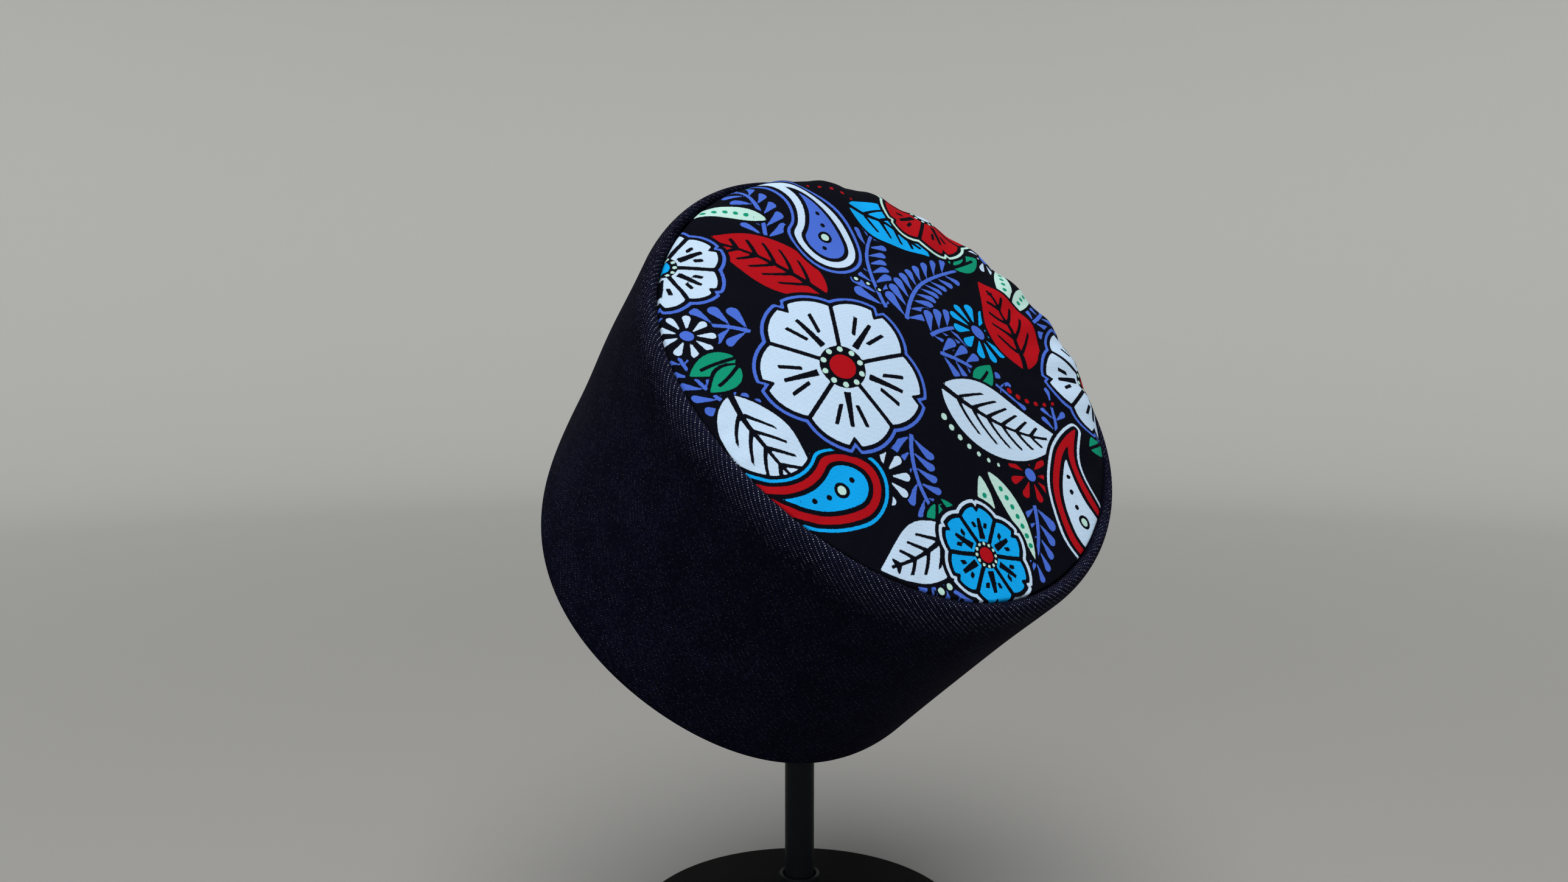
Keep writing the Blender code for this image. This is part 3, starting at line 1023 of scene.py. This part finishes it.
def draw_vine(lay, along, across, length, size):
    """A stem with pairs of drops that shrink towards its bud."""
    share = np.clip(along / length, 0, 1)
    shape = overlap(np.abs(across) - 0.75 + 0.2 * share, np.abs(along - share * length) - 0.3)
    slant = math.radians(50)
    out = np.abs(across) - 1.0
    for start in np.arange(1.0, length - 3, 5.2):
        grown = size * (1 - 0.45 * start / length)
        ahead = along - start
        leaflet = drop_distance(ahead * math.cos(slant) + out * math.sin(slant),
                                out * math.cos(slant) - ahead * math.sin(slant),
                                grown, grown * 0.19)
        shape = union(shape, leaflet)
    shape = union(shape, drop_distance(along - length + 0.5, across, size * 0.6, size * 0.12))
    lay(shape, (("violet", shape),), 0.9)


def draw_trail(lay, along, across, length, spacing, size, ink):
    """A line of dots that shrink to half their size."""
    share = np.clip(along / length, 0, 1)
    dots = np.hypot(repeated(along, spacing), across) - size * (1 - 0.5 * share)
    dots = overlap(dots, np.abs(along - share * length) - 0.5 * spacing)
    lay(dots, ((ink, dots),), 0.8)


def draw_burst(lay, along, across, radius, drops, ink):
    """Drops that stand round a violet disc."""
    out, aside = folded(along, across, drops)
    rays = drop_distance(out - 0.34 * radius, aside, 0.66 * radius, 0.145 * radius)
    middle = np.hypot(along, across)
    lay(middle - radius, ((ink, rays), ("violet", middle - 0.24 * radius)), 0.6)


def draw_small_leaf(lay, along, across, length, half_width):
    """A green leaf with a short black rib."""
    shape = leaf_distance(along, across, length, half_width)
    rib = overlap(np.abs(across) - 0.6, along - 0.75 * length)
    lay(shape, (("green", overlap(shape, -rib)),))


def draw_pod(lay, along, across, length, half_width):
    """A mint pod with a row of green seeds."""
    shape = leaf_distance(along, across, length, half_width)
    seed = np.hypot(repeated(along, 3.4), across) - 0.95
    seed = overlap(seed, 4 - along, along - length + 4)
    lay(shape, (("mint", overlap(shape, -seed - 0.1)), ("green", seed)))


def draw_leaf(lay, along, across, length, half_width, ink):
    """A large leaf with a black rib and curved side veins that stop short of its edge."""
    fullest = 0.75
    shape = leaf_distance(along, across, length, half_width, fullest)
    side = np.abs(across)
    rib = overlap(side - np.maximum(1.1 - 0.95 * along / length, 0.55), along - 0.88 * length)
    reach = half_width * np.sin(math.pi * np.clip(along / length, 0.001, 1) ** fullest)
    vein = repeated(along - 0.9 * side - 0.04 * side * side, 6.6) - 1.0 + 0.3 * side / half_width
    vein = overlap(vein, side - 0.66 * reach, 7.0 - along, along - 0.84 * length)
    lay(shape, ((ink, overlap(shape, -union(rib, vein))),))


def draw_paisley(lay, along, across, length, half_width, outer, inner):
    """A curled drop in two inks, with dots, an eye, and a line drawn round it."""
    shape = drop_distance(along, across, length, half_width)
    ring = overlap(shape, -shape - 2.6)
    ahead = along - 0.72 * length
    eye = np.hypot(ahead, across) - 2.6
    dots = overlap(np.hypot(repeated(ahead, 5.5), across) - 0.95, 0.4 * length - along)
    cut = union(overlap(dots, -eye - 1.0), eye)
    lay(shape - LINE_REACH, ((outer, ring), (inner, overlap(shape + 4.2, -cut)),
                             ("mint", eye + 1.1), (inner, line_round(shape))))


def draw_blossom(lay, along, across, radius, petals, ink, heart, line_ink):
    """Notched round petals with black lines, a beaded heart, and a line drawn round it."""
    middle = np.hypot(along, across)
    out, aside = folded(along, across, petals)
    side = np.abs(aside)
    lobe = radius * math.sin(math.pi / petals) * 0.92
    shape = union(np.hypot(out - radius + lobe, aside) - lobe, middle - radius + lobe)
    shape = overlap(shape, (out - 0.88 * radius) * 0.7 - side)
    gap = out * math.sin(math.pi / petals) - side * math.cos(math.pi / petals) - 0.75
    line = overlap(side - 1.25 + 1.2 * (out / radius - 0.3),
                   np.abs(out - 0.55 * radius) - 0.22 * radius)
    fork = overlap(np.abs(side - 0.36 * (out - 0.22 * radius)) - 0.75,
                   np.abs(out - 0.62 * radius) - 0.006 * radius * (radius - 6))
    petal = overlap(shape, -union(line, fork, gap), 0.28 * radius - middle)
    bead_out, bead_aside = folded(along, across, petals * 2)
    beads = np.hypot(bead_out - 0.235 * radius, bead_aside) - 0.036 * radius
    lay(shape - LINE_REACH, ((ink, petal), (heart, middle - 0.16 * radius), ("mint", beads),
                             (line_ink, line_round(shape))))


def print_layers(p, q):
    """Distance outside each ink at each point, in millimetres, below zero inside.

    A motif is laid over the earlier ones, which stop an outline's width away from it.
    """
    far_away = 50.0
    layers = {name: np.full_like(p, far_away) for names in INKS.values() for name in names}

    def lay(shape, inks, margin=OUTLINE):
        for name in layers:
            layers[name] = overlap(layers[name], margin - shape)
        for name, ink in inks:
            layers[name] = union(layers[name], ink)

    for draw, rows in ((draw_vine, VINES), (draw_trail, TRAILS), (draw_burst, BURSTS),
                       (draw_small_leaf, SMALL_LEAVES), (draw_pod, PODS), (draw_leaf, LEAVES),
                       (draw_paisley, PAISLEYS), (draw_blossom, BLOSSOMS)):
        for at_p, at_q, turn, curl, length, *rest in rows:
            draw(lay, *moved(p, q, at_p, at_q, turn, curl, length), length, *rest)
    return layers


def even_layers(x, y, step=0.05):
    """The print at points of the crown, each ink divided by how fast it changes.

    That brings the numbers near to true distances, so that every edge is as sharp.
    """
    p = x * math.cos(PRINT_TURN) + y * math.sin(PRINT_TURN)
    q = y * math.cos(PRINT_TURN) - x * math.sin(PRINT_TURN)
    here = print_layers(p, q)
    right = print_layers(p + step, q)
    away = print_layers(p, q + step)
    even = {}
    for name, value in here.items():
        slope = np.hypot(right[name] - value, away[name] - value) / step
        even[name] = value / np.clip(slope, 0.4, 3.0)
    return even


def turned_piece(name, stations, material, node):
    """A surface turned round Z from stations of radius and height, top to bottom.

    A first and last radius of zero close the ends at points, and otherwise the section
    closes on itself.
    """
    radius, height = np.array(stations).T[:, :, None]
    angle = full_turn(TURNED_STEPS)
    if radius[0, 0] > 0:
        quads = grid_quads(len(stations), TURNED_STEPS, True, True)
        make_piece(name, around(radius, height, angle), quads.tolist(), material, node)
        return
    ends = np.array([[0, 0, height[0, 0]], [0, 0, height[-1, 0]]])
    points = around(radius[1:-1], height[1:-1], angle).reshape(-1, 3)
    quads = grid_quads(len(stations) - 2, TURNED_STEPS, False, True)
    ring = np.arange(TURNED_STEPS)
    top = ring_fan(ring, len(points))
    bottom = ring_fan(ring + len(points) - TURNED_STEPS, len(points) + 1)[:, [1, 0, 2]]
    faces = quads.tolist() + top.tolist() + bottom.tolist()
    make_piece(name, np.concatenate([points, ends]), faces, material, node)


def quarter(radius, height, size, start):
    """Stations of a quarter circle round a centre, clockwise from an angle in degrees."""
    turns = math.radians(start) - np.linspace(0, math.pi / 2, EDGE_STEPS + 1)
    return [(radius + size * math.cos(turn), height + size * math.sin(turn)) for turn in turns]


def make_stand(stand):
    """Pole, collar, base and hidden head, each at the place and size of its node."""
    paint = coated_material("black_metal", stand.colour, stand.roughness, *PAINT_FINISH)
    matt = stand.base_colour, stand.base_roughness
    dull = coated_material("black_metal_base", *matt, *BASE_FINISH)
    plastic = coated_material("black_plastic", *matt, *HEAD_FINISH)
    low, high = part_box("stand_base")
    edge = stand.base_round
    stations = [(0, high.z), (high.x * 0.5, high.z), (high.x - 2 * edge, high.z)]
    stations += quarter(high.x - edge, high.z - edge, edge, 90)
    stations += quarter(high.x - edge / 2, low.z + edge / 2, edge / 2, 0)
    stations += [(high.x * 0.5, low.z), (0, low.z)]
    turned_piece("round_base", stations, dull, "stand_base")

    low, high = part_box("stand_pole")
    pole = high.x
    edge = stand.pole_edge
    stations = [(0, high.z), (pole - edge, high.z), (pole, high.z - edge)]
    stations += [(pole, z) for z in np.linspace(high.z - 0.01, low.z + 0.01, POLE_RINGS)]
    stations += [(pole, low.z + edge), (pole - edge, low.z), (0, low.z)]
    turned_piece("pole", stations, paint, "stand_pole")

    low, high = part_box("stand_collar")
    lip = stand.collar_lip
    bore = high.x - stand.collar_wall
    seat = pole + stand.seat_gap
    stations = quarter(high.x - lip, high.z - lip, lip, 90)
    stations += [(high.x, high.z - 2 * lip), (high.x, low.z + 2 * lip)]
    stations += quarter(high.x - lip / 2, low.z + lip / 2, lip / 2, 0)
    stations += [(seat, low.z), (seat, low.z + stand.collar_seat)]
    stations += [(bore, low.z + stand.collar_seat + stand.collar_wall)]
    stations += quarter(bore + lip, high.z - lip, lip, 180)
    turned_piece("collar", stations, paint, "stand_collar")

    low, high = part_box("stand_head")
    rim, rise, edge = high.x, high.z - low.z, stand.head_edge
    sphere = (rim * rim + rise * rise) / (2 * rise)
    span = math.asin(min(1.0, rim / sphere))
    stations = [(0, high.z)]
    stations += [(sphere * math.sin(turn), high.z - sphere + sphere * math.cos(turn))
                 for turn in np.linspace(0, span, HEAD_RINGS)[1:-1]]
    stations += quarter(rim - edge, low.z + edge, edge, 0)
    stations += [(0, low.z)]
    turned_piece("seat_dome", stations, plastic, "stand_head")


def floor_material(stage):
    """The floor's finish, paler far from the object."""
    material, tree, shader = new_material("pale_floor")
    reach = one_of(tree, "ShaderNodeVectorMath", "Value", {0: object_place(tree)},
                   operation="LENGTH")
    tone = mixed(mapped(reach, *FLOOR_TONE), stage.floor, stage.wall)
    set_inputs(shader, {"Base Color": tone, "Roughness": 0.8})
    return material


def make_floor(stage):
    """A pale floor that sweeps up smoothly into a round wall far from the object."""
    angle = full_turn(FLOOR_STEPS)
    reach = np.concatenate([np.linspace(0.02, FLOOR_FLAT, FLOOR_RINGS),
                            np.linspace(FLOOR_FLAT + 0.1, FLOOR_END, FLOOR_RINGS)])[:, None]
    height = FLOOR_RISE * np.clip(reach - FLOOR_FLAT, 0, None) ** 2
    points = around(reach, height, angle).reshape(-1, 3)
    quads = grid_quads(len(reach), FLOOR_STEPS, False, True)[:, ::-1]
    middle = ring_fan(np.arange(FLOOR_STEPS), len(points))[:, ::-1]
    floor = mesh_object("floor", np.concatenate([points, [[0, 0, 0]]]),
                        quads.tolist() + middle.tolist(), floor_material(stage))


def make_light(name, power, size, place, tint):
    """A square area light at a place, turned to the cap."""
    light = bpy.data.lights.new(name, "AREA")
    light.energy = power
    light.size = size
    light.color = tint
    holder = link_object(name, light)
    holder.location = place
    away = Vector(place) - Vector(LIT_PLACE)
    holder.rotation_euler = away.to_track_quat("Z", "Y").to_euler()


def make_sky(strength):
    """Even, slightly blue light from all round."""
    world = bpy.data.worlds.new("sky")
    world.use_nodes = True
    background = world.node_tree.nodes["Background"]
    set_inputs(background, {"Color": (0.90, 0.95, 1.0), "Strength": strength})
    bpy.context.scene.world = world


def make_camera(stage):
    """The camera, at the photograph's viewing angle."""
    camera = bpy.data.cameras.new("camera")
    camera.sensor_width = 36.0
    camera.lens = stage.lens
    camera.clip_start = 0.01
    camera.clip_end = 20.0
    holder = link_object("camera", camera)
    holder.location = stage.camera_place
    holder.rotation_euler = (math.pi / 2 - stage.camera_dip, 0, stage.camera_turn)
    bpy.context.scene.camera = holder


class KUFI_OT_stage(bpy.types.Operator):
    """Makes the floor, the lights and the camera"""

    bl_idname = "kufi.stage"
    bl_label = "Stage"

    def execute(self, context):
        stage = context.scene.kufi_stage
        make_floor(stage)
        make_camera(stage)
        make_light("key", stage.key_power, *KEY_LIGHT)
        make_light("fill", stage.fill_power, *FILL_LIGHT)
        make_sky(stage.sky)
        context.scene.view_settings.view_transform = "Standard"
        return {"FINISHED"}


class KUFI_OT_band(bpy.types.Operator):
    """Makes the denim band, from the crown seam to the turned hem"""

    bl_idname = "kufi.band"
    bl_label = "Denim band"

    def execute(self, context):
        make_band(context.scene.kufi_cap, context.scene.kufi_denim)
        return {"FINISHED"}


class KUFI_OT_crown(bpy.types.Operator):
    """Makes the printed crown"""

    bl_idname = "kufi.crown"
    bl_label = "Printed crown"

    def execute(self, context):
        make_crown(context.scene.kufi_cap, context.scene.kufi_print)
        return {"FINISHED"}


class KUFI_OT_stand(bpy.types.Operator):
    """Makes the stand's pole, collar, base and head"""

    bl_idname = "kufi.stand"
    bl_label = "Display stand"

    def execute(self, context):
        make_stand(context.scene.kufi_stand)
        return {"FINISHED"}


OPERATORS = (KUFI_OT_stage, KUFI_OT_band, KUFI_OT_crown, KUFI_OT_stand)
SETTINGS = (
    ("kufi_cap", KufiCapShape),
    ("kufi_denim", KufiDenim),
    ("kufi_print", KufiPrint),
    ("kufi_stand", KufiStand),
    ("kufi_stage", KufiStage),
)


class KUFI_PT_panel(bpy.types.Panel):
    """Lists the cap's settings and the operators that make its pieces"""

    bl_idname = "KUFI_PT_panel"
    bl_label = "Kufi Cap"
    bl_space_type = "VIEW_3D"
    bl_region_type = "UI"
    bl_category = "Kufi Cap"

    def draw(self, context):
        for operator in OPERATORS:
            self.layout.operator(operator.bl_idname)
        for name, group in SETTINGS:
            box = self.layout.box()
            box.label(text=group.__doc__)
            for prop in group.bl_rna.properties:
                if not prop.is_readonly and prop.identifier != "name":
                    box.prop(getattr(context.scene, name), prop.identifier)


def register():
    """Registers the settings, the operators and the panel."""
    for name, group in SETTINGS:
        bpy.utils.register_class(group)
        setattr(bpy.types.Scene, name, bpy.props.PointerProperty(type=group))
    for operator in OPERATORS:
        bpy.utils.register_class(operator)
    bpy.utils.register_class(KUFI_PT_panel)


def unregister():
    """Takes the panel, the operators and the settings away again."""
    bpy.utils.unregister_class(KUFI_PT_panel)
    for operator in reversed(OPERATORS):
        bpy.utils.unregister_class(operator)
    for name, group in reversed(SETTINGS):
        delattr(bpy.types.Scene, name)
        bpy.utils.unregister_class(group)


def main():
    """Makes the scene."""
    register()
    bpy.ops.kufi.stage()
    bpy.ops.kufi.band()
    bpy.ops.kufi.crown()
    bpy.ops.kufi.stand()


if __name__ == "__main__":
    main()
